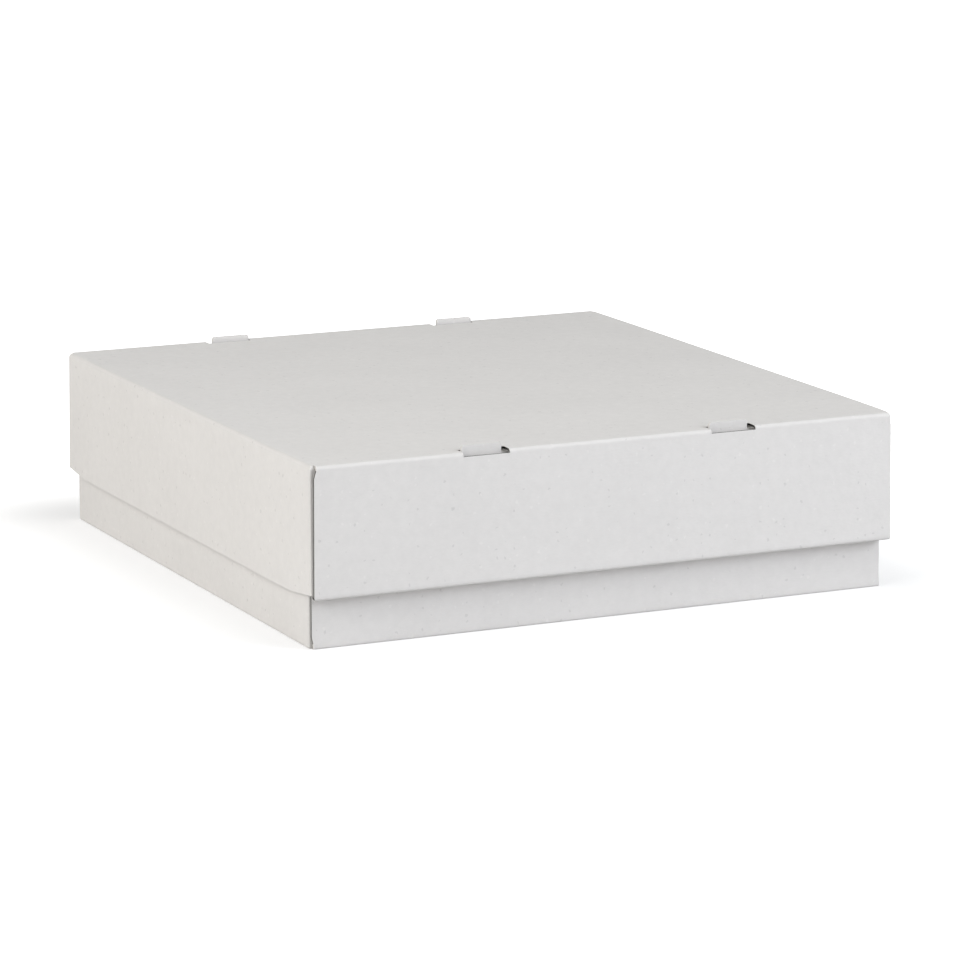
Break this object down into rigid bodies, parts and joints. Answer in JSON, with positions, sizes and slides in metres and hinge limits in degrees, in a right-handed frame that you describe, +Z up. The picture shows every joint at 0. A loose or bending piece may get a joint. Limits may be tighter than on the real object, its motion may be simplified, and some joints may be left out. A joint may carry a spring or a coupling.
{
  "type": "lid and base box",
  "caption": "Flat square lid and base box of folded micro-flute board: a deep lid slides down over the base tray, and tabs through slots lock the rolled double walls.",
  "frame": {"origin": "centre of the base's underside", "axes": "+Z up, +X across the single walls, +Y across the rolled walls, which are the ones with locking tabs"},
  "size_m": [0.3084, 0.326, 0.0901],
  "materials": {
    "base_board": "matte",
    "lid_board": "matte"
  },
  "bodies": {
    "base": {"base": "base_board"},
    "lid": {"lid": "lid_board"}
  },
  "joints": [
    {"name": "lid_lift", "type": "slide", "parent": "base", "child": "lid", "axis": [0, 0, 1], "range_m": [0, 0.12]}
  ]
}
